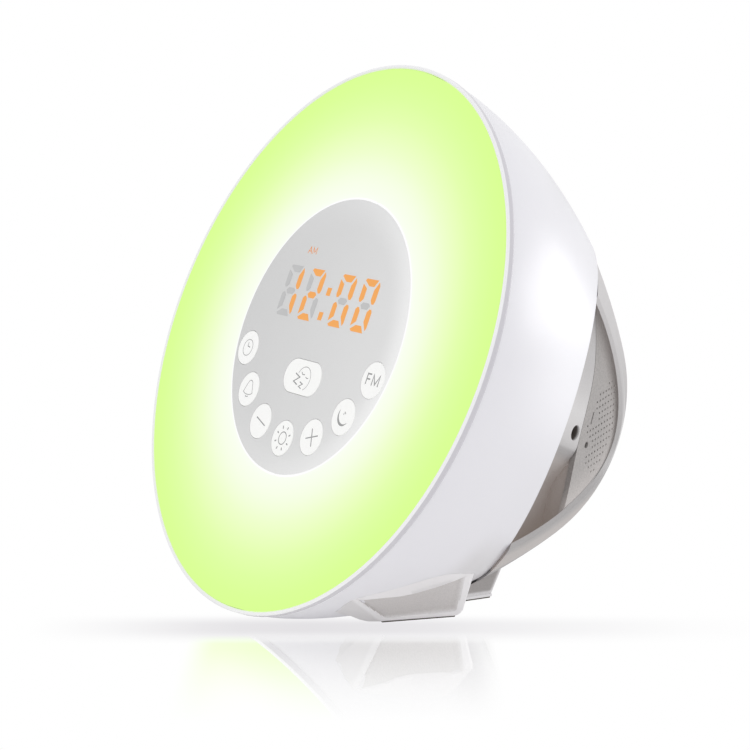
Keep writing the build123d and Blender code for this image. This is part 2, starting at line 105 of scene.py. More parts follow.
def obj_coord(nt):
    t = nt.nodes.new("ShaderNodeTexCoord")
    return t.outputs["Object"]


def noise(nt, scale, detail=3.0, rough=0.5, dist=0.0):
    n = nt.nodes.new("ShaderNodeTexNoise")
    n.inputs["Scale"].default_value = scale
    n.inputs["Detail"].default_value = detail
    n.inputs["Roughness"].default_value = rough
    n.inputs["Distortion"].default_value = dist
    nt.links.new(obj_coord(nt), n.inputs["Vector"])
    return n


def ramp(nt, fac, stops, interp="LINEAR"):
    r = nt.nodes.new("ShaderNodeValToRGB")
    r.color_ramp.interpolation = interp
    el = r.color_ramp.elements
    while len(el) > 1:
        el.remove(el[-1])
    el[0].position, el[0].color = stops[0][0], (*stops[0][1], 1.0)
    for p, c in stops[1:]:
        e = el.new(p)
        e.color = (*c, 1.0)
    nt.links.new(fac, r.inputs[0])
    return r


def bump(nt, height, strength, dist, normal=None):
    b = nt.nodes.new("ShaderNodeBump")
    b.inputs["Strength"].default_value = strength
    b.inputs["Distance"].default_value = dist
    nt.links.new(height, b.inputs["Height"])
    if normal is not None:
        nt.links.new(normal, b.inputs["Normal"])
    return b.outputs[0]


def along(nt, direction, origin):
    """millimetres along a direction of the row frame, from a point"""
    vm = nt.nodes.new("ShaderNodeVectorMath")
    vm.operation = "SUBTRACT"
    vm.inputs[1].default_value = origin
    nt.links.new(obj_coord(nt), vm.inputs[0])
    dt = nt.nodes.new("ShaderNodeVectorMath")
    dt.operation = "DOT_PRODUCT"
    dt.inputs[1].default_value = direction * 1000.0
    nt.links.new(vm.outputs[0], dt.inputs[0])
    return dt.outputs["Value"]


def radial(nt):
    """distance from the middle of the face, in millimetres"""
    vm = nt.nodes.new("ShaderNodeVectorMath")
    vm.operation = "DISTANCE"
    vm.inputs[1].default_value = at(0, 0, 1.0)
    nt.links.new(obj_coord(nt), vm.inputs[0])
    mu = nt.nodes.new("ShaderNodeMath")
    mu.operation = "MULTIPLY"
    mu.inputs[1].default_value = 1000.0
    nt.links.new(vm.outputs["Value"], mu.inputs[0])
    return mu.outputs[0]


def remap(nt, value, a, b, c=0.0, d=1.0, smooth=False):
    m = nt.nodes.new("ShaderNodeMapRange")
    m.interpolation_type = "SMOOTHSTEP" if smooth else "LINEAR"
    m.inputs["From Min"].default_value = a
    m.inputs["From Max"].default_value = b
    m.inputs["To Min"].default_value = c
    m.inputs["To Max"].default_value = d
    nt.links.new(value, m.inputs["Value"])
    return m.outputs[0]


def math_node(nt, op, a, b):
    m = nt.nodes.new("ShaderNodeMath")
    m.operation = op
    for i, x in enumerate((a, b)):
        if isinstance(x, (int, float)):
            m.inputs[i].default_value = x
        else:
            nt.links.new(x, m.inputs[i])
    return m.outputs[0]


def mix_col(nt, fac, a, b, mode="MIX"):
    m = nt.nodes.new("ShaderNodeMix")
    m.data_type = "RGBA"
    m.blend_type = mode
    if isinstance(fac, (int, float)):
        m.inputs[0].default_value = fac
    else:
        nt.links.new(fac, m.inputs[0])
    for key, x in (("A", a), ("B", b)):
        if isinstance(x, tuple):
            m.inputs[key].default_value = (*x, 1.0)
        else:
            nt.links.new(x, m.inputs[key])
    return m.outputs["Result"]


def plastic(name, col, rough, grain=0.0, grain_scale=2500.0, spread=0.03, coat=0.0, coat_rough=0.1, ior=1.46,
            rough_spread=0.06, speckle=0.16, tint=None):
    """moulded plastic: slight colour mottling, uneven gloss and a spark-eroded grain"""
    m, nt, b = new_mat(name)
    n1 = noise(nt, 35.0, 4.0, 0.55)
    lo = tuple(max(0.0, c * (1 - spread)) for c in col)
    hi = tuple(min(1.0, c * (1 + spread)) for c in col)
    r = ramp(nt, n1.outputs["Fac"], [(0.3, lo), (0.7, hi)])
    colour = r.outputs[0]
    if tint is not None:
        colour = tint(nt, colour)
    if grain > 0:
        n3 = noise(nt, grain_scale, 2.0, 0.5)
        sp = ramp(nt, n3.outputs["Fac"], [(0.36, (1 - speckle * min(1.0, grain * 2),) * 3), (0.62, (1.0, 1.0, 1.0))])
        colour = mix_col(nt, 1.0, colour, sp.outputs[0], "MULTIPLY")
        nrm = bump(nt, n3.outputs["Fac"], grain, 0.00012)
    else:
        n3 = noise(nt, 420.0, 2.0, 0.5)
        nrm = bump(nt, n3.outputs["Fac"], 0.04, 0.00008)
    nt.links.new(nrm, b.inputs["Normal"])
    nt.links.new(colour, b.inputs["Base Color"])
    n2 = noise(nt, 90.0, 3.0, 0.6)
    nt.links.new(remap(nt, n2.outputs["Fac"], 0.0, 1.0, max(0.02, rough - rough_spread), min(1.0, rough + rough_spread)),
                 b.inputs["Roughness"])
    b.inputs["IOR"].default_value = ior
    b.inputs["Coat Weight"].default_value = coat
    b.inputs["Coat Roughness"].default_value = coat_rough
    return m


def metal(name, col, rough):
    m, nt, b = new_mat(name)
    n1 = noise(nt, 220.0, 5.0, 0.6)
    r = ramp(nt, n1.outputs["Fac"], [(0.3, tuple(c * 0.88 for c in col)), (0.7, col)])
    nt.links.new(r.outputs[0], b.inputs["Base Color"])
    nt.links.new(remap(nt, n1.outputs["Fac"], 0.0, 1.0, rough * 0.8, rough * 1.25), b.inputs["Roughness"])
    b.inputs["Metallic"].default_value = 1.0
    return m


# colours of the glowing front from the panel's edge outwards
DIFFUSER_STOPS = [(0.0, (249, 255, 243)), (0.04, (248, 255, 238)), (0.08, (247, 255, 235)), (0.13, (246, 255, 231)),
                  (0.18, (244, 255, 226)), (0.26, (241, 254, 216)), (0.35, (237, 254, 203)), (0.47, (232, 254, 188)),
                  (0.61, (225, 254, 170)), (0.76, (219, 254, 156)), (0.90, (216, 254, 146)), (1.0, (215, 254, 142))]


def lit_diffuser():
    m, nt, b = new_mat("lit_diffuser")
    pos = remap(nt, radial(nt), 43.5, 84.0)
    n = noise(nt, 14.0, 2.0, 0.5)
    pos = math_node(nt, "ADD", pos, math_node(nt, "SUBTRACT", math_node(nt, "MULTIPLY", n.outputs["Fac"], 0.03), 0.015))
    r = ramp(nt, pos, [(p, srgb(*c)) for p, c in DIFFUSER_STOPS])
    nt.links.new(r.outputs[0], b.inputs["Emission Color"])
    b.inputs["Emission Strength"].default_value = 0.97
    b.inputs["Base Color"].default_value = (0.01, 0.015, 0.005, 1)
    b.inputs["Roughness"].default_value = 0.5
    b.inputs["Specular IOR Level"].default_value = 0.25
    g = noise(nt, 1800.0, 2.0, 0.5)
    nt.links.new(bump(nt, g.outputs["Fac"], 0.1, 0.00005), b.inputs["Normal"])
    return m


def key_material():
    """satin white cap with a faint painted glow that lifts its tone and the gaps round it, standing for a little light
    from the display behind it
    """
    m = plastic("key_plastic_painted_glow", (0.955, 0.955, 0.948), 0.4, spread=0.004)
    b = next(n for n in m.node_tree.nodes if n.type == "BSDF_PRINCIPLED")
    # painted light: a faint glow on the key caps
    b.inputs["Emission Color"].default_value = (1.0, 1.0, 0.99, 1)
    b.inputs["Emission Strength"].default_value = 0.06
    return m


def glow(name, col, strength, base=(0.004, 0.004, 0.004), rough=0.45):
    m, nt, b = new_mat(name)
    n = noise(nt, 60.0, 2.0, 0.5)
    r = ramp(nt, n.outputs["Fac"], [(0.3, tuple(c * 0.97 for c in col)), (0.7, col)])
    nt.links.new(r.outputs[0], b.inputs["Emission Color"])
    b.inputs["Emission Strength"].default_value = strength
    b.inputs["Base Color"].default_value = (*base, 1)
    b.inputs["Roughness"].default_value = rough
    b.inputs["Specular IOR Level"].default_value = 0.1
    return m


def panel_material():
    """matt grey panel with a painted glow standing for light bleeding in from the glowing ring round it, stronger
    towards one side
    """
    m = plastic("panel_plastic_painted_glow", (0.665, 0.665, 0.668), 0.5, grain=0.12, grain_scale=3200.0, spread=0.008, speckle=0.06)
    nt = m.node_tree
    b = next(n for n in nt.nodes if n.type == "BSDF_PRINCIPLED")
    # painted light: a glow near the ring, a glow stronger towards one side, and a faint even glow
    edge = remap(nt, radial(nt), 33.0, 43.2, 0.0, 1.0, smooth=True)
    side = remap(nt, along(nt, (U * 0.97 - V * 0.12).normalized(), at(0, 0, 0)), -40.0, 43.0, 0.0, 1.0)
    e = math_node(nt, "MULTIPLY", edge, math_node(nt, "MULTIPLY", side, 0.12))
    e = math_node(nt, "ADD", e, math_node(nt, "MULTIPLY", side, 0.10))
    e = math_node(nt, "ADD", e, 0.015)
    ec = nt.nodes.new("ShaderNodeCombineColor")
    for i in range(3):
        nt.links.new(e, ec.inputs[i])
    nt.links.new(ec.outputs[0], b.inputs["Emission Color"])
    b.inputs["Emission Strength"].default_value = 1.0
    return m


def bezel_material():
    def tint(nt, colour):
        # painted shade: the ring's side is painted lavender grey, standing for the shade between ring and shell
        s = along(nt, N, at(0, 0, 0))
        side = remap(nt, s, 0.3, 0.75, 0.0, 1.0, smooth=True)
        return mix_col(nt, side, colour, (0.60, 0.585, 0.63))
    return plastic("bezel_plastic_painted_shade", (0.93, 0.925, 0.95), 0.25, spread=0.006, coat=0.4, coat_rough=0.08, tint=tint)


def both_sides(nt):
    """object coordinates with x made positive, so that one mask serves the left and the right side"""
    sep = nt.nodes.new("ShaderNodeSeparateXYZ")
    nt.links.new(obj_coord(nt), sep.inputs[0])
    com = nt.nodes.new("ShaderNodeCombineXYZ")
    nt.links.new(math_node(nt, "ABSOLUTE", sep.outputs[0], 0.0), com.inputs[0])
    nt.links.new(sep.outputs[1], com.inputs[1])
    nt.links.new(sep.outputs[2], com.inputs[2])
    return com.outputs[0]


def dot_mm(nt, coord, direction, origin):
    """millimetres along a direction from a point, for given coordinates"""
    vm = nt.nodes.new("ShaderNodeVectorMath")
    vm.operation = "SUBTRACT"
    vm.inputs[1].default_value = origin
    nt.links.new(coord, vm.inputs[0])
    dt = nt.nodes.new("ShaderNodeVectorMath")
    dt.operation = "DOT_PRODUCT"
    dt.inputs[1].default_value = direction * 1000.0
    nt.links.new(vm.outputs[0], dt.inputs[0])
    return dt.outputs["Value"]


def times(nt, a, b):
    return math_node(nt, "MULTIPLY", a, b)


def grey_link(nt, value, colour, socket):
    """colour scaled by a value into a colour socket"""
    com = nt.nodes.new("ShaderNodeCombineColor")
    for i in range(3):
        nt.links.new(times(nt, value, colour[i]), com.inputs[i])
    nt.links.new(com.outputs[0], socket)


def housing_material():
    """grey rear housing with painted light: painted shade deeper towards the bottom and inside the jack hole, a painted
    glow of bounce light in the scoop and a painted highlight on the wall strip
    """
    wall = math.sqrt(1 + 0.395 ** 2)

    def tint(nt, colour):
        co = both_sides(nt)
        height = dot_mm(nt, co, Vector((0, 0, 1)), Vector((0, 0, 0)))
        # painted shade: darker towards the bottom
        colour = mix_col(nt, remap(nt, height, 100.0, 22.0, 0.0, 0.62, smooth=True), colour, (0.30, 0.287, 0.285))
        # painted shade: dark inside the jack hole, from here to the mix below
        jack = at(77.85 - 0.395 * 64.5, -3.4, 64.5)
        nrm = (U + N * 0.395).normalized()
        vm = nt.nodes.new("ShaderNodeVectorMath")
        vm.operation = "SUBTRACT"
        vm.inputs[1].default_value = jack
        nt.links.new(obj_coord(nt), vm.inputs[0])
        cr = nt.nodes.new("ShaderNodeVectorMath")
        cr.operation = "CROSS_PRODUCT"
        cr.inputs[1].default_value = nrm * 1000.0
        nt.links.new(vm.outputs[0], cr.inputs[0])
        ln = nt.nodes.new("ShaderNodeVectorMath")
        ln.operation = "LENGTH"
        nt.links.new(cr.outputs[0], ln.inputs[0])
        hole = times(nt, remap(nt, ln.outputs["Value"], 2.42, 2.36, 0.0, 1.0),
                     remap(nt, along(nt, nrm, jack), -0.35, -1.1, 0.0, 0.9, smooth=True))
        return mix_col(nt, hole, colour, (0.09, 0.072, 0.062))
    m = plastic("housing_plastic_painted_light", (0.553, 0.537, 0.542), 0.46, grain=0.35, grain_scale=2600.0, spread=0.015, speckle=0.10, tint=tint)
    nt = m.node_tree
    b = next(n for n in nt.nodes if n.type == "BSDF_PRINCIPLED")
    co = both_sides(nt)
    depth = times(nt, dot_mm(nt, co, U + N * 0.395, at(77.85, 0, 0)), -1.0 / wall)
    below = times(nt, dot_mm(nt, co, V, at(0, 0, 0)), -1.0)
    back = dot_mm(nt, co, N, at(0, 0, 0))
    # painted light: a glow of bounce light in the scoop
    inner = times(nt, remap(nt, depth, 0.4, 4.0, smooth=True), remap(nt, below, 6.0, 12.0, smooth=True))
    inner = times(nt, inner, times(nt, remap(nt, depth, 10.5, 9.4), remap(nt, back, 45.0, 50.0)))
    # painted highlight: a glowing band along the wall strip
    flat = times(nt, remap(nt, depth, 0.3, 0.6, 1.0, 0.0), remap(nt, depth, -0.6, -0.25))
    wall_painted_highlight_ramp = ramp(nt, remap(nt, below, 20.0, -40.0), [((v + 20.0) / 60.0, (e, e, e)) for v, e in (
        (-16, 0.0), (-13, 0.02), (-10, 0.07), (-6, 0.13), (-1, 0.18), (3, 0.195), (9, 0.11), (15, 0.045), (22, 0.02), (32, 0.0))])
    wall_painted_highlight = times(nt, flat, wall_painted_highlight_ramp.outputs[0])
    com = nt.nodes.new("ShaderNodeCombineColor")
    for i, c in enumerate((0.092, 0.074, 0.063)):
        nt.links.new(math_node(nt, "ADD", times(nt, inner, c), wall_painted_highlight), com.inputs[i])
    nt.links.new(com.outputs[0], b.inputs["Emission Color"])
    b.inputs["Emission Strength"].default_value = 1.0
    return m


def shell_material():
    """satin white shell with painted light over its side: a painted highlight across the middle, painted shade low at
    the rear and near the top
    """
    def tint(nt, colour):
        co = obj_coord(nt)
        s, v = dot_mm(nt, co, N, at(0, 0, 0)), dot_mm(nt, co, V, at(0, 0, 0))
        # painted highlight across the middle of the side
        shell_painted_highlight = times(nt, remap(nt, s, 5.0, 38.0, smooth=True),
                       times(nt, remap(nt, v, -20.0, 6.0, smooth=True), remap(nt, v, 40.0, 14.0, smooth=True)))
        colour = mix_col(nt, shell_painted_highlight, colour, (0.925, 0.92, 0.96))
        # painted shade low at the rear
        under = times(nt, remap(nt, s, 28.0, 41.0, smooth=True), remap(nt, v, -36.0, -50.0, smooth=True))
        colour = mix_col(nt, under, colour, (0.68, 0.668, 0.69))
        # painted shade near the top
        top = times(nt, remap(nt, s, 20.0, 34.0, smooth=True), remap(nt, v, 50.0, 62.0, smooth=True))
        return mix_col(nt, top, colour, (0.735, 0.73, 0.765))
    return plastic("shell_plastic_painted_light", (0.79, 0.783, 0.825), 0.36, coat=0.3, coat_rough=0.25, spread=0.004, tint=tint)


def insert_material():
    """grained side insert, with a painted glow of bounce light along the rim so that the corner doesn't go black"""
    m = plastic("insert_plastic_painted_glow", (0.42, 0.40, 0.392), 0.6, grain=0.6, grain_scale=1700.0, spread=0.03, speckle=0.14)
    nt = m.node_tree
    b = next(n for n in nt.nodes if n.type == "BSDF_PRINCIPLED")
    co = both_sides(nt)
    com = nt.nodes.new("ShaderNodeCombineXYZ")
    nt.links.new(dot_mm(nt, co, U, at(0, -1.15, 0)), com.inputs[0])
    nt.links.new(dot_mm(nt, co, V, at(0, -1.15, 0)), com.inputs[1])
    ln = nt.nodes.new("ShaderNodeVectorMath")
    ln.operation = "LENGTH"
    nt.links.new(com.outputs[0], ln.inputs[0])
    rim = math_node(nt, "ADD", ln.outputs["Value"], times(nt, dot_mm(nt, co, N, at(0, 0, 66.0)), 0.665))
    # painted light: a glow near the rim
    e = remap(nt, rim, 54.5, 59.2, 0.0, 1.0, smooth=True)
    grey_link(nt, e, (0.12, 0.108, 0.103), b.inputs["Emission Color"])
    b.inputs["Emission Strength"].default_value = 1.0
    return m


def foot_sunk_material():
    """the sunk side of a front foot, painted darker as shade in the recess, running out into the smooth border"""
    def tint(nt, colour):
        co = both_sides(nt)
        run = dot_mm(nt, co, Vector((0.3227, 0.9465, 0.0)), Vector((0.03571, -0.03381, 0.0)))
        z = dot_mm(nt, co, Vector((0, 0, 1)), Vector((0, 0, 0)))
        # painted shade: the sunk side keeps the darker colour, the border the light one
        k = times(nt, remap(nt, run, 24.2, 21.4, 0.0, 1.0, smooth=True), remap(nt, z, 1.6, 3.4, 0.0, 1.0, smooth=True))
        left = math_node(nt, "ADD", run, times(nt, math_node(nt, "SUBTRACT", z, 0.5), 1.066))
        k = times(nt, k, remap(nt, left, 0.7, 2.2, 0.0, 1.0, smooth=True))
        return mix_col(nt, k, (0.825, 0.81, 0.825), colour)
    return plastic("foot_sunk_painted_shade", (0.595, 0.57, 0.566), 0.5, grain=0.4, grain_scale=2000.0, spread=0.02, speckle=0.10, tint=tint)


def foot_rear_material():
    """rear feet: painted light, a darker shaded side with a lighter border at the rear and the bottom where the edges
    catch the light
    """
    def tint(nt, colour):
        co = both_sides(nt)
        run = dot_mm(nt, co, Vector((0.0, -1.0, 0.328)), Vector((0.0, 0.010, 0.0012)))
        z = dot_mm(nt, co, Vector((0, 0, 1)), Vector((0, 0, 0)))
        # painted light: the lighter border where the edges catch the light
        k = times(nt, remap(nt, run, 1.0, 2.8, 0.0, 1.0, smooth=True), remap(nt, z, 1.9, 2.9, 0.0, 1.0, smooth=True))
        return mix_col(nt, k, (0.72, 0.70, 0.71), colour)
    return plastic("foot_rear_painted_light", (0.385, 0.363, 0.357), 0.5, grain=0.4, grain_scale=2200.0, spread=0.02, speckle=0.1, tint=tint)


MAT = {}
MAT["shell"] = shell_material()
MAT["bezel"] = bezel_material()
MAT["housing"] = housing_material()
MAT["insert"] = insert_material()
def foot_material():
    """smooth part of a front foot, with painted shade darkening its slanting front end"""
    def tint(nt, colour):
        co = both_sides(nt)
        run = dot_mm(nt, co, Vector((0.3227, 0.9465, 0.0)), Vector((0.03571, -0.03381, 0.0)))
        z = dot_mm(nt, co, Vector((0, 0, 1)), Vector((0, 0, 0)))
        left = math_node(nt, "ADD", run, times(nt, math_node(nt, "SUBTRACT", z, 0.5), 1.066))
        # painted shade on the slanting front end
        return mix_col(nt, remap(nt, left, 0.8, -0.8, 0.0, 1.0, smooth=True), colour, (0.70, 0.685, 0.695))
    return plastic("foot_plastic_painted_shade", (0.825, 0.81, 0.825), 0.42, grain=0.12, grain_scale=2600.0, spread=0.01, speckle=0.04, tint=tint)


MAT["foot"] = foot_material()
MAT["foot_sunk"] = foot_sunk_material()
MAT["foot_rear"] = foot_rear_material()
MAT["pad"] = plastic("pad_rubber", (0.10, 0.085, 0.07), 0.75, grain=0.5, grain_scale=1800.0)
MAT["panel"] = panel_material()
MAT["key"] = key_material()
MAT["icon"] = plastic("icon_ink", (0.35, 0.35, 0.355), 0.55, spread=0.03)
MAT["icon_light"] = plastic("icon_ink_light", (0.50, 0.50, 0.50), 0.55, spread=0.03)
MAT["digits_dark"] = plastic("digits_unlit", (0.565, 0.565, 0.57), 0.45, spread=0.01)
MAT["steel"] = metal("zinc_steel", (0.62, 0.62, 0.64), 0.35)
MAT["nickel"] = metal("nickel", (0.75, 0.73, 0.69), 0.22)
MAT["cell"] = metal("cell_steel", (0.70, 0.70, 0.72), 0.28)
MAT["magnet"] = metal("magnet_plating", (0.5, 0.5, 0.51), 0.4)
MAT["inner_plastic"] = plastic("inner_plastic", (0.78, 0.78, 0.78), 0.5)
MAT["reflector"] = plastic("reflector_plastic", (0.93, 0.93, 0.93), 0.25)
MAT["board"] = plastic("solder_mask", (0.03, 0.16, 0.07), 0.35, grain=0.1)
MAT["white_board"] = plastic("white_mask", (0.88, 0.88, 0.86), 0.4)
MAT["led"] = plastic("led_lens", (0.9, 0.82, 0.45), 0.2)
MAT["switch"] = plastic("switch_plastic", (0.03, 0.03, 0.03), 0.4)
MAT["display"] = plastic("display_plastic", (0.05, 0.05, 0.055), 0.4)
MAT["component"] = plastic("component_body", (0.04, 0.04, 0.045), 0.5)
MAT["speaker_metal"] = plastic("speaker_paint", (0.08, 0.08, 0.085), 0.45)
MAT["cone"] = plastic("cone_paper", (0.06, 0.055, 0.05), 0.8, grain=0.4, grain_scale=900.0)
MAT["jack"] = plastic("jack_plastic", (0.05, 0.045, 0.042), 0.35)
MAT["reset"] = plastic("reset_plastic", (0.12, 0.11, 0.105), 0.4)
MAT["holder"] = plastic("holder_plastic", (0.03, 0.03, 0.03), 0.5)
MAT["diffuser"] = lit_diffuser()
MAT["light_guide"] = glow("light_guide_lit", (1.0, 1.0, 1.0), 1.0)
MAT["digits_lit"] = glow("digits_orange", srgb(244, 170, 94), 0.99)
MAT["am_lit"] = glow("am_orange", srgb(238, 148, 66), 0.95)

SLOT = {s["node"]: s["material_slot"] for s in frame["record"]["subparts"]}
for name, ob in NODES.items():
    m = MAT["foot_rear" if name.startswith("rear_foot_") and SLOT[name] == "foot" else SLOT[name]]
    ob.data.materials.clear()
    ob.data.materials.append(m)


# ---------------------------------------------------------------- printed marks
KEY_TOP = DISH + 0.02             # face coordinate s of the key tops
PANEL_TOP = DISH + 0.1
INK = 1.02                       # stroke weight of the icons


def link(name, me, mat, body, smooth=True):
    me.materials.append(mat)
    if smooth:
        for p in me.polygons:
            p.use_smooth = True
    ob = bpy.data.objects.new(name, me)
    bpy.context.scene.collection.objects.link(ob)
    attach(ob, body)
    return ob


def stroke(verts, faces, path, w, top, closed=False, h=0.05, seg=6):
    """a low rounded ridge of ink along a path of (u, v) points, standing on the surface at s = top"""
    n = len(path)
    pts = [Vector((p[0], p[1])) for p in path]
    rows = []

    def row(p, nrm, k, hk):
        out = []
        for i in range(seg + 1):
            a = math.pi * i / seg
            q = p + nrm * (math.cos(a) * w / 2 * k)
            out.append(at(q.x, q.y, top + 0.03 - (h + 0.03) * math.sin(a) * hk))
        return out

    for i in range(n):
        a = pts[i - 1] if (i > 0 or closed) else None
        b = pts[(i + 1) % n] if (i < n - 1 or closed) else None
        d1 = (pts[i] - a).normalized() if a is not None else None
        d2 = (b - pts[i]).normalized() if b is not None else None
        if d1 is None:
            d1 = d2
        if d2 is None:
            d2 = d1
        n1, n2 = Vector((-d1.y, d1.x)), Vector((-d2.y, d2.x))
        nn = n1 + n2
        if nn.length < 0.35:
            nn = n1
        nn.normalize()
        k = min(2.2, 1.0 / max(0.35, nn.dot(n1)))
        if i == 0 and not closed:
            rows.append(row(pts[i] - d2 * (w / 2), nn, 0.05, 0.2))
            rows.append(row(pts[i] - d2 * (w * 0.30), nn, 0.75, 0.9))
        rows.append(row(pts[i], nn, k, 1.0))
        if i == n - 1 and not closed:
            rows.append(row(pts[i] + d1 * (w * 0.30), nn, 0.75, 0.9))
            rows.append(row(pts[i] + d1 * (w / 2), nn, 0.05, 0.2))
    base = len(verts)
    for r in rows:
        verts.extend(r)
    m = seg + 1
    cnt = len(rows)
    for i in range(cnt if closed else cnt - 1):
        j = (i + 1) % cnt
        for k in range(m):
            k2 = (k + 1) % m
            faces.append((base + i * m + k, base + i * m + k2, base + j * m + k2, base + j * m + k))
    if not closed:
        faces.append(tuple(base + k for k in range(m))[::-1])
        faces.append(tuple(base + (cnt - 1) * m + k for k in range(m)))


def arc(cx, cy, r, a0, a1, n):
    return [(cx + r * math.cos(math.radians(a0 + (a1 - a0) * i / (n - 1))), cy + r * math.sin(math.radians(a0 + (a1 - a0) * i / (n - 1))))
            for i in range(n)]


def circle(cx, cy, r, n=48):
    return [(cx + r * math.cos(2 * math.pi * i / n), cy + r * math.sin(2 * math.pi * i / n)) for i in range(n)]


def smooth_path(pts, n=6):
    """Catmull-Rom through the points"""
    out = []
    P = [Vector(p) for p in pts]
    for i in range(len(P) - 1):
        p0, p1, p2, p3 = P[max(i - 1, 0)], P[i], P[i + 1], P[min(i + 2, len(P) - 1)]
        for k in range(n):
            t = k / n
            q = 0.5 * ((2 * p1) + (p2 - p0) * t + (2 * p0 - 5 * p1 + 4 * p2 - p3) * t * t + (3 * p1 - p0 - 3 * p2 + p3) * t ** 3)
            out.append((q.x, q.y))
    out.append((P[-1].x, P[-1].y))
    return out


def ink(name, centre, strokes, top, mat, body):
    verts, faces = [], []
    for path, w, closed in strokes:
        stroke(verts, faces, [(centre[0] + x, centre[1] + y) for x, y in path], w * INK, top, closed)
    me = bpy.data.meshes.new(name)
    me.from_pydata([tuple(v) for v in verts], [], faces)
    me.update()
    bm = bmesh.new()
    bm.from_mesh(me)
    bmesh.ops.recalc_face_normals(bm, faces=bm.faces)
    bm.to_mesh(me)
    bm.free()
    return link(name, me, mat, body)


def blade(name, centre, outer, inner, top, mat, body, h=0.06):
    """a filled crescent between two paths of equal length that meet at both tips"""
    n = len(outer)
    verts, faces = [], []
    for i in range(n):
        o, q = outer[i], inner[i]
        for (x, y), hh in ((o, -0.02), (((o[0] * 0.85 + q[0] * 0.15), (o[1] * 0.85 + q[1] * 0.15)), h),
                           (((o[0] * 0.15 + q[0] * 0.85), (o[1] * 0.15 + q[1] * 0.85)), h), (q, -0.02)):
            verts.append(tuple(at(centre[0] + x, centre[1] + y, top - hh)))
    for i in range(n - 1):
        for k in range(4):
            k2 = (k + 1) % 4
            faces.append((i * 4 + k, i * 4 + k2, (i + 1) * 4 + k2, (i + 1) * 4 + k))
    faces.append((3, 2, 1, 0))
    faces.append(tuple((n - 1) * 4 + k for k in range(4)))
    me = bpy.data.meshes.new(name)
    me.from_pydata(verts, [], faces)
    me.update()
    bm = bmesh.new()
    bm.from_mesh(me)
    bmesh.ops.remove_doubles(bm, verts=bm.verts, dist=1e-7)
    bmesh.ops.recalc_face_normals(bm, faces=bm.faces)
    bm.to_mesh(me)
    bm.free()
    return link(name, me, mat, body)


def key_centre(angle):
    return (38.15 * math.cos(math.radians(angle)), 38.15 * math.sin(math.radians(angle)) + 5.9)


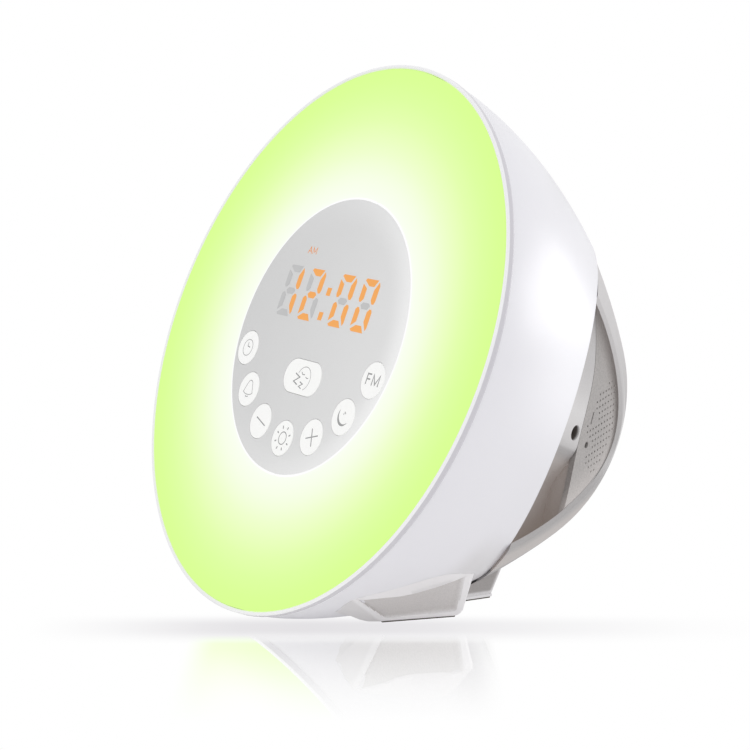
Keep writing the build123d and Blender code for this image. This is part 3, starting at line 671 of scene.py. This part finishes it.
def make_marks():
    K = {n: key_centre(a) for n, a in (("key_alarm_set", -157.5), ("key_bell", -135), ("key_minus", -112.5), ("key_light", -90),
                                       ("key_plus", -67.5), ("key_sleep", -45), ("key_radio", -22.5))}
    grey, pale = MAT["icon"], MAT["icon_light"]
    ink("icon_clock", K["key_alarm_set"], [(circle(-0.1, 0.0, 2.6), 0.34, True)], KEY_TOP, pale, "key_alarm_set")
    ink("icon_clock_hands", K["key_alarm_set"], [([(-0.42, 1.55), (-0.38, 0.45), (0.95, 0.18)], 0.36, False)], KEY_TOP, grey,
        "key_alarm_set")
    bell = smooth_path([(-2.62, -1.05), (-2.35, -0.6), (-2.1, 0.1), (-1.62, 1.25), (-1.05, 2.3), (-0.45, 2.72), (0.0, 2.8), (0.45, 2.72),
                        (1.05, 2.3), (1.6, 1.25), (2.08, 0.1), (2.32, -0.6), (2.6, -1.05), (1.9, -1.45), (1.0, -1.66), (0.0, -1.72),
                        (-1.0, -1.66), (-1.9, -1.45)], 4)
    ink("icon_bell", K["key_bell"], [(bell[:-1], 0.34, True)], KEY_TOP, pale, "key_bell")
    ink("icon_bell_clapper", K["key_bell"], [([(-0.75, -2.28), (-0.3, -2.44), (0.3, -2.44), (0.75, -2.28)], 0.42, False)], KEY_TOP, pale,
        "key_bell")
    ink("icon_minus", K["key_minus"], [([(-2.5, 0.85), (3.05, -1.0)], 0.44, False)], KEY_TOP, grey, "key_minus")
    rays = []
    for x, y in ((-1.25, 3.2), (1.4, 3.2), (3.35, 1.35), (3.4, -1.3), (1.45, -3.15), (-1.2, -3.15), (-3.1, -1.3), (-3.1, 1.35)):
        d = Vector((x - 0.12, y)).normalized() * 0.3
        rays.append(([(x - d.x, y - d.y), (x + d.x, y + d.y)], 0.5, False))
    ink("icon_sun", K["key_light"], [(circle(0.12, 0.0, 1.92), 0.36, True)] + rays, KEY_TOP, grey, "key_light")
    ink("icon_plus", K["key_plus"], [([(-2.5, -0.8), (3.05, 0.9)], 0.42, False), ([(-0.68, 2.35), (1.22, -2.5)], 0.5, False)], KEY_TOP,
        grey, "key_plus")
    outer, inner = [], []
    ax = Vector((0.828, -0.560))                      # along the tips
    dn = Vector((-0.560, -0.828))                     # towards the thick side
    oc = Vector((0.15, 0.25))
    for i in range(33):
        a = math.pi * i / 32
        outer.append(tuple(oc + ax * (-2.97 * math.cos(a)) + dn * (2.97 * math.sin(a))))
        half = math.asin(2.97 / 3.15)
        b = -half + 2 * half * i / 32
        inner.append(tuple(oc - dn * 1.06 + ax * (3.15 * math.sin(b)) + dn * (3.15 * math.cos(b))))
    blade("icon_moon", K["key_sleep"], outer, inner, KEY_TOP, grey, "key_sleep")
    ink("icon_moon_star", K["key_sleep"], [([(-0.25, 0.85), (0.0, 0.95)], 0.42, False), ([(0.25, 1.5), (0.65, 1.15)], 0.5, False)], KEY_TOP,
        pale, "key_sleep")
    ink("icon_fm", K["key_radio"], [([(-3.05, -1.4), (-3.05, 1.62), (-1.35, 1.62)], 0.52, False), ([(-3.0, 0.1), (-1.5, 0.1)], 0.5, False),
                                    ([(-0.05, -1.4), (-0.05, 1.62), (1.5, -1.15), (3.05, 1.62), (3.05, -1.4)], 0.52, False)],
        KEY_TOP, grey, "key_radio")
    sn = (-0.2, -13.2)
    ink("icon_snooze_face", sn, [(arc(0.8, -0.3, 3.62, -66, 158, 40), 0.30, False)], KEY_TOP, pale, "key_snooze")
    ink("icon_snooze_marks", sn, [([(-0.95, 1.42), (-0.2, 0.85), (0.9, 0.9)], 0.34, False), ([(1.8, 0.3), (2.4, 0.02), (3.15, 0.06)], 0.30, False),
                                  ([(-3.9, 0.72), (-1.25, -0.15), (-3.95, -1.75), (-1.7, -2.5)], 0.46, False),
                                  ([(-0.35, -1.5), (1.25, -1.98), (-0.45, -2.9), (0.95, -3.38)], 0.40, False)],
        KEY_TOP, grey, "key_snooze")
    ink("mark_am", (-17.4, 25.2), [([(-2.35, -1.0), (-1.4, 1.0), (-0.45, -1.0)], 0.32, False), ([(-1.95, -0.35), (-0.85, -0.35)], 0.28, False),
                                   ([(0.25, -1.0), (0.25, 1.0), (1.25, -0.55), (2.25, 1.0), (2.25, -1.0)], 0.32, False)],
        PANEL_TOP, MAT["am_lit"], "housing")


make_marks()


# ---------------------------------------------------------------- front feet
def shell_r(s):
    x = max(0.0, (s - 2.181) / 122.61)
    return 84.777 * (1 - x ** 1.598) ** (1 / 1.304)


def bowl_z(x, y):
    """height of the bowl's outside over a point of the floor, in millimetres"""
    def inside(z):
        v = (y + 34.556) * S + (z - 80.4) * C
        s = (y + 34.556) * C - (z - 80.4) * S
        return s > 0.5 and math.hypot(x, v) < shell_r(s)
    z = 1.5
    while z < 40.0 and not inside(z):
        z += 0.1
    return z


def step(a, b, x):
    t = max(0.0, min(1.0, (x - a) / (b - a)))
    return t * t * (3 - 2 * t)


def curve_at(pts, t):
    """Catmull-Rom through 3-D points, t from 0 to 1"""
    n = len(pts) - 1
    i = min(n - 1, int(t * n))
    f = t * n - i
    p0, p1, p2, p3 = (Vector(pts[max(i - 1, 0)]), Vector(pts[i]), Vector(pts[i + 1]), Vector(pts[min(i + 2, n)]))
    return 0.5 * ((2 * p1) + (p2 - p0) * f + (2 * p0 - 5 * p1 + 4 * p2 - p3) * f * f + (3 * p1 - p0 - 3 * p2 + p3) * f ** 3)


# where the foot's ledge leaves the bowl, and the ledge's lower edge, in millimetres of the row frame
FOOT_UPPER = [(47.97, -51.73, 12.89), (49.9, -49.65, 13.89), (51.85, -45.6, 14.78), (53.52, -41.01, 15.7), (54.97, -36.58, 16.73),
              (55.93, -31.45, 17.66), (55.77, -25.82, 17.91), (53.68, -19.42, 16.84), (49.21, -11.18, 14.56)]
FOOT_LOWER = [(48.34, -50.64, 12.95), (48.65, -47.51, 12.66), (49.09, -41.73, 12.36), (48.64, -35.98, 11.79), (48.68, -30.85, 11.86),
              (49.0, -26.56, 12.32), (49.11, -22.45, 12.76), (49.41, -17.37, 13.63), (49.21, -11.18, 14.56)]
OUTER = Vector((0.821, -0.544, 0.173))       # away from the bowl at this foot
SIDE_N = Vector((0.93, -0.366, 0.0))


def make_front_foot(name, node, mirror):
    low = 0.5
    cols = []
    rows = 40
    sunk = set()                              # first corners of the quads that lie in the sunk side

    def col(up, edge, bot, proud, inset):
        """one strip from the bowl over the ledge and down the side"""
        out = [up - OUTER * 0.6, up + OUTER * 0.02, up.lerp(edge + OUTER * proud, 0.5), edge + OUTER * proud]
        top = edge + OUTER * proud
        for i in range(rows):
            w = i / (rows - 1)
            p = top.lerp(bot, w)
            if i == 0:
                p = p - Vector((0, 0, 0.12))
            h = p.z - low
            round_off = 0.22 * (1 - min(1.0, h / 0.6)) ** 2
            out.append(p - SIDE_N * (inset(w, h) + round_off))
        return out

    nil = lambda w, h: 0.0
    tip = Vector((38.6, -51.2, 7.15))
    cols.append(col(tip, tip - Vector((0, 0, 0.02)), tip - Vector((0, 0, 0.05)), 0.05, nil))
    cols.append(col(Vector((41.2, -51.6, 8.75)), Vector((41.2, -51.5, 8.7)), Vector((37.4, -47.6, 5.6)), 0.05, nil))
    cols.append(col(Vector((43.97, -52.02, 10.33)), Vector((43.97, -51.9, 10.28)), Vector((36.7, -44.35, 4.0)), 0.08, nil))
    cols.append(col(Vector((46.2, -52.0, 11.8)), Vector((46.2, -51.8, 11.75)), Vector((35.8, -41.3, 2.4)), 0.1, nil))
    cols.append(col(Vector((47.6, -51.85, 12.65)), Vector((47.7, -51.5, 12.6)), Vector((35.35, -38.0, 1.15)), 0.12, nil))
    n = 72
    length = 25.5
    deep = 1.35
    for i in range(n + 1):
        t = i / n
        up, ed = curve_at(FOOT_UPPER, t), curve_at(FOOT_LOWER, t)
        bot = Vector((35.71, -33.81, low)).lerp(Vector((43.6, -10.8, low)), t)
        q = max(0.0, (t - 0.90) / 0.10)
        bot = bot.lerp(ed, 0.17 * (1 - math.sqrt(max(0.0, 1 - q * q))))
        proud = 0.12 + 1.9 * step(0.0, 0.12, t) * step(0.0, 0.16, 1 - t)

        def inset(w, h, t=t):
            left = step(0.0, 0.7, (t - 0.03 - 0.065 * w) * length)
            right = step(1.3, 3.6, (1 - t) * length * (1.3 - 0.3 * w))
            return deep * left * right * step(1.3, 3.3, h)
        first = len(cols) * (4 + rows)
        cols.append(col(up, ed, bot, proud, inset))
        for r in range(rows - 1):
            p = cols[-1][4 + r]
            if inset(r / (rows - 1), p.z - low) > 0.04 * deep and inset((r + 1) / (rows - 1), cols[-1][5 + r].z - low) > 0.04 * deep:
                sunk.add(first + 4 + r)
    # round the rear corner, then the hidden sides, ending back at the tip
    for (xb, yb), (xt, yt) in (((43.55, -10.25), (48.75, -10.15)), ((42.9, -9.75), (47.9, -9.35)), ((41.4, -9.3), (46.4, -8.75)),
                               ((36.5, -7.9), (38.5, -7.6)), ((30.5, -6.3), (30.5, -6.3)), ((24.0, -18.0), (24.0, -18.0)),
                               ((23.6, -30.0), (23.6, -30.0)), ((29.5, -40.5), (29.5, -40.5)), ((35.0, -47.5), (35.0, -47.5))):
        zt = min(14.4, bowl_z(xt, yt) + 0.5)
        zb = low if yb > -35 else max(low, min(bowl_z(xb, yb) - 0.1, 1.2 + (-yb - 35) * 0.35))
        if xb > 41.0:
            zb = low + 2.2 * (0.9 if xb > 43.2 else 0.6 if xb > 42 else 0.15)
        if yb < -35:
            zt = bowl_z(xt, yt) + 0.3
        out = [Vector((xt, yt, zt))] * 4
        for i in range(rows):
            p = Vector((xt, yt, zt)).lerp(Vector((xb, yb, zb)), i / (rows - 1))
            out.append(p)
        cols.append(out)
    verts, faces = [], []
    for c in cols:
        verts.extend(c)
    m = len(cols[0])
    k = len(cols)
    mats = []
    for i in range(k):
        j = (i + 1) % k
        for a in range(m - 1):
            faces.append((i * m + a, i * m + a + 1, j * m + a + 1, j * m + a))
            mats.append(1 if i * m + a in sunk and j * m + a in sunk else 0)
    lo_c = len(verts)
    verts.append(Vector((36.0, -24.0, low)))
    hi_c = len(verts)
    verts.append(Vector((36.0, -26.0, bowl_z(36.0, -26.0) + 0.5)))
    for i in range(k):
        j = (i + 1) % k
        faces.append((lo_c, j * m + m - 1, i * m + m - 1))
        faces.append((hi_c, i * m, j * m))
    sx = -1.0 if mirror else 1.0
    me = bpy.data.meshes.new(name)
    me.from_pydata([(v.x * sx * 0.001, v.y * 0.001, v.z * 0.001) for v in verts], [], faces)
    for i, mi in enumerate(mats):
        me.polygons[i].material_index = mi
    me.update()
    bm = bmesh.new()
    bm.from_mesh(me)
    bmesh.ops.remove_doubles(bm, verts=bm.verts, dist=2e-6)
    bmesh.ops.dissolve_degenerate(bm, edges=bm.edges, dist=1e-6)
    bmesh.ops.recalc_face_normals(bm, faces=bm.faces)
    bm.to_mesh(me)
    bm.free()
    ob = link(name, me, MAT["foot"], "housing")
    me.materials.append(MAT["foot_sunk"])
    me.set_sharp_from_angle(angle=math.radians(38.0))
    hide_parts(node)
    return ob


make_front_foot("front_foot_right_shape", "front_foot_right", False)
make_front_foot("front_foot_left_shape", "front_foot_left", True)


def make_pads(name, node, outline, top, low=0.0, look="pad"):
    """thin rubber pads, one under each foot of a pair, with a softened lower edge"""
    verts, faces = [], []
    c = Vector((sum(p[0] for p in outline) / len(outline), sum(p[1] for p in outline) / len(outline)))
    for sx in (1.0, -1.0):
        base = len(verts)
        for z, k in ((low, 0.985), (low + 0.15, 1.0), (top, 1.0)):
            for x, y in outline:
                q = c + (Vector((x, y)) - c) * k
                verts.append((q.x * sx * 0.001, q.y * 0.001, z * 0.001))
        m = len(outline)
        for r in range(2):
            for i in range(m):
                j = (i + 1) % m
                faces.append((base + r * m + i, base + r * m + j, base + (r + 1) * m + j, base + (r + 1) * m + i))
        faces.append(tuple(base + i for i in range(m))[::-1])
        faces.append(tuple(base + 2 * m + i for i in range(m)))
    me = bpy.data.meshes.new(name)
    me.from_pydata(verts, [], faces)
    me.update()
    bm = bmesh.new()
    bm.from_mesh(me)
    bmesh.ops.recalc_face_normals(bm, faces=bm.faces)
    bm.to_mesh(me)
    bm.free()
    ob = link(name, me, MAT[look], "housing", smooth=False)
    if node:
        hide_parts(node)
    return ob


make_pads("front_pads_shape", "front_foot_pads", [(35.3, -33.3), (42.4, -12.2), (41.2, -11.2), (31.0, -8.2), (24.3, -29.5)], 0.62)
# the rear feet reach further down than their plain solids, so their pads are as thin as the front ones
make_pads("rear_pads_shape", "rear_foot_pads", [(30.9, -2.2), (32.1, 8.3), (21.2, 8.7), (20.7, -2.2)], 0.5)
make_pads("rear_foot_soles", None, [(31.0, -2.5), (32.3, 8.8), (21.0, 9.2), (20.5, -2.5)], 1.25, low=0.42, look="foot")


# ---------------------------------------------------------------- floor and light
def make_floor():
    """white sheet with a soft mirror near the object, running out into plain white"""
    bm = bmesh.new()
    bmesh.ops.create_grid(bm, x_segments=8, y_segments=8, size=12.0)
    me = bpy.data.meshes.new("floor")
    bm.to_mesh(me)
    bm.free()
    ob = bpy.data.objects.new("floor", me)
    bpy.context.scene.collection.objects.link(ob)
    m, nt, b = new_mat("floor_pale")
    n = noise(nt, 6.0, 3.0, 0.5)
    r = ramp(nt, n.outputs["Fac"], [(0.3, (0.755, 0.75, 0.745)), (0.7, (0.765, 0.76, 0.755))])
    nt.links.new(r.outputs[0], b.inputs["Base Color"])
    b.inputs["Roughness"].default_value = 0.5
    b.inputs["Specular IOR Level"].default_value = 0.1
    b.inputs["Emission Color"].default_value = (1, 1, 1, 1)
    b.inputs["Emission Strength"].default_value = 0.25
    out = next(x for x in nt.nodes if x.type == "OUTPUT_MATERIAL")
    d = nt.nodes.new("ShaderNodeVectorMath")
    d.operation = "LENGTH"
    nt.links.new(obj_coord(nt), d.inputs[0])
    gl = nt.nodes.new("ShaderNodeBsdfGlossy")
    gl.inputs["Roughness"].default_value = 0.03
    gl.inputs["Color"].default_value = (1.11, 1.11, 1.11, 1)
    near = nt.nodes.new("ShaderNodeMixShader")
    ahead = along(nt, Vector((0.8336, -0.5524, 0.0)), Vector((0.0, 0.0, 0.0)))     # mm in front of the middle, on the floor
    across = along(nt, Vector((0.5524, 0.8336, 0.0)), Vector((0.0, 0.0, 0.0)))
    mirror = ramp(nt, remap(nt, ahead, 0.0, 150.0),
                  [(q / 150.0, (s, s, s)) for q, s in ((60, 0.0), (65, 0.25), (68, 0.5), (73.6, 0.52), (82.5, 0.46), (95.3, 0.34),
                                                       (107.5, 0.2), (115.3, 0.12), (123, 0.06), (131, 0.0))])
    mirror = times(nt, mirror.outputs[0], times(nt, remap(nt, across, -64.0, -54.0, smooth=True), remap(nt, across, 24.0, 15.0, smooth=True)))
    gl.inputs["Color"].default_value = (1.07, 1.07, 1.07, 1)
    # painted shade: a faint band of shade along the front of the table
    band = ramp(nt, remap(nt, ahead, 30.0, 80.0),
                [((q - 30.0) / 50.0, (s, s, s)) for q, s in ((37, 0.0), (41.2, 0.2), (45.2, 0.6), (48, 0.9), (50, 1.0), (55.5, 1.0),
                                                            (58, 0.85), (60.8, 0.57), (64.5, 0.22), (68.2, 0.0))])
    wide = ramp(nt, remap(nt, across, -110.0, 110.0),
                [((q + 110.0) / 220.0, (s, s, s)) for q, s in ((-110, 0.0), (-98, 0.03), (-84, 0.07), (-72, 0.12), (-60.6, 0.17), (-49, 0.205),
                                                              (-30, 0.225), (-5, 0.205), (8.5, 0.18), (20, 0.135), (43, 0.085),
                                                              (55, 0.065), (80, 0.02), (110, 0.0))])
    shade = times(nt, band.outputs[0], wide.outputs[0])
    sheet = nt.nodes.new("ShaderNodeEmission")
    com = nt.nodes.new("ShaderNodeCombineColor")
    for i, c in enumerate((1.0, 1.06, 0.97)):
        nt.links.new(math_node(nt, "SUBTRACT", 1.0, times(nt, shade, c)), com.inputs[i])
    nt.links.new(com.outputs[0], sheet.inputs["Color"])
    nt.links.new(mirror, near.inputs[0])
    nt.links.new(sheet.outputs[0], near.inputs[1])
    nt.links.new(gl.outputs[0], near.inputs[2])
    seen = nt.nodes.new("ShaderNodeLightPath")
    direct = nt.nodes.new("ShaderNodeMixShader")
    nt.links.new(seen.outputs["Is Camera Ray"], direct.inputs[0])
    nt.links.new(b.outputs[0], direct.inputs[1])
    nt.links.new(near.outputs[0], direct.inputs[2])
    near = direct
    far = nt.nodes.new("ShaderNodeEmission")
    far.inputs["Color"].default_value = (1, 1, 1, 1)
    nt.links.new(remap(nt, seen.outputs["Is Camera Ray"], 0.0, 1.0, 0.78, 1.0), far.inputs["Strength"])
    mx = nt.nodes.new("ShaderNodeMixShader")
    white = math_node(nt, "MAXIMUM", remap(nt, d.outputs["Value"], 0.25, 0.6, 0.0, 1.0, smooth=True),
                      remap(nt, ahead, 36.0, 45.0, 1.0, 0.0, smooth=True))
    nt.links.new(white, mx.inputs[0])
    nt.links.new(near.outputs[0], mx.inputs[1])
    nt.links.new(far.outputs[0], mx.inputs[2])
    nt.links.new(mx.outputs[0], out.inputs[0])
    me.materials.append(m)
    return ob


make_floor()


def area(name, loc, target, size, power, color=(1, 1, 1), size_y=None):
    li = bpy.data.lights.new(name, "AREA")
    li.shape = "RECTANGLE" if size_y else "SQUARE"
    li.size = size
    if size_y:
        li.size_y = size_y
    li.energy = power
    li.color = color
    ob = bpy.data.objects.new(name, li)
    ob.location = loc
    d = Vector(target) - Vector(loc)
    ob.rotation_euler = d.to_track_quat("-Z", "Y").to_euler()
    ob.visible_camera = False
    bpy.context.scene.collection.objects.link(ob)
    return ob


world = bpy.data.worlds.new("studio")
bpy.context.scene.world = world
world.use_nodes = True
wn = world.node_tree
bg = wn.nodes["Background"]
bg.inputs[0].default_value = (1.0, 1.0, 1.0, 1.0)
lp = wn.nodes.new("ShaderNodeLightPath")
mr = wn.nodes.new("ShaderNodeMapRange")
mr.inputs["To Min"].default_value = 0.935
mr.inputs["To Max"].default_value = 1.0
wn.links.new(lp.outputs["Is Camera Ray"], mr.inputs["Value"])
wn.links.new(mr.outputs[0], bg.inputs[1])

area("back_soft", (0.27, 1.2, 0.19), (0.02, 0.0, 0.08), 0.8, 3.0, size_y=0.36)

bpy.context.scene.view_settings.view_transform = "Standard"
bpy.context.scene.view_settings.look = "None"
